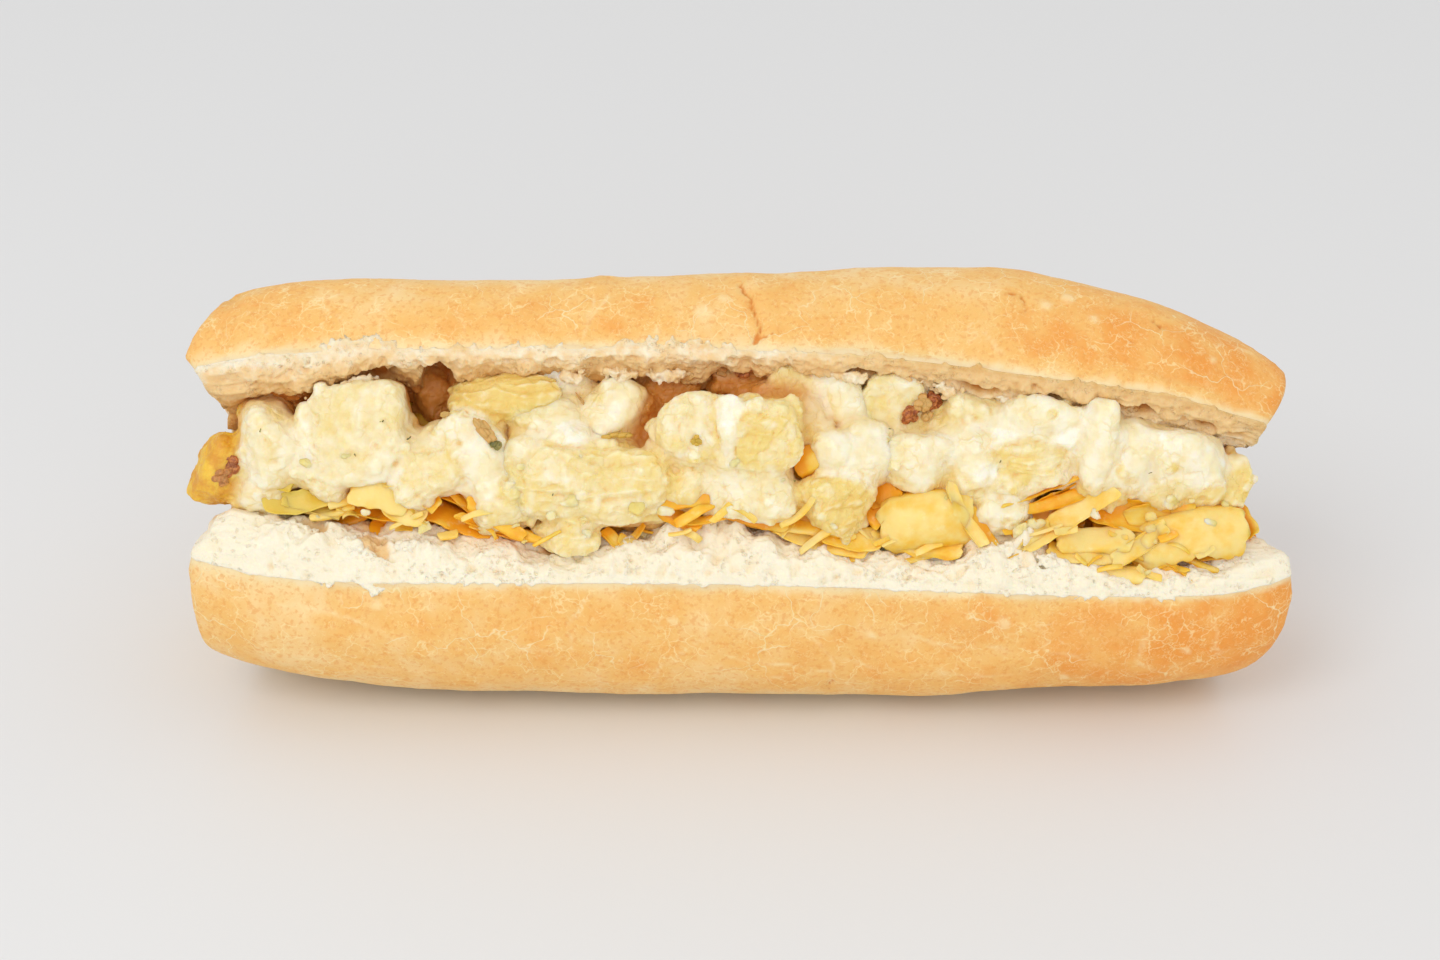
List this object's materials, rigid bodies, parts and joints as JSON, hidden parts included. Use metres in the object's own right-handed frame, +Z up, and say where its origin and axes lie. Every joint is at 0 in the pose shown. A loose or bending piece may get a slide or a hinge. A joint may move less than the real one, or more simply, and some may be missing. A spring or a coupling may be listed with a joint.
{
  "type": "filled egg and cheese sub roll",
  "caption": "Long soft bread roll, split along its front and hinged at the back, lying open around creamy egg chunks and cheese shavings.",
  "frame": {"origin": "on the surface that the roll lies on, below the centre of the whole part's bounding box", "axes": "+X along the roll, +Z up, and the open mouth with its filling faces -Y"},
  "size_m": [0.2058, 0.0676, 0.0769],
  "materials": {
    "roll_crust": "matte golden wheat crust with pale torn crumb on the cut faces; stands for bread",
    "cheese": "slightly waxy yellow cheese, deeper orange in its folds; stands for cheese",
    "egg": "moist cream to pale yellow egg with a thin creamy dressing; stands for egg"
  },
  "bodies": {
    "root": {"bread_roll": "roll_crust", "cheese_shavings": "cheese", "egg_chunks": "egg"}
  },
  "joints": []
}
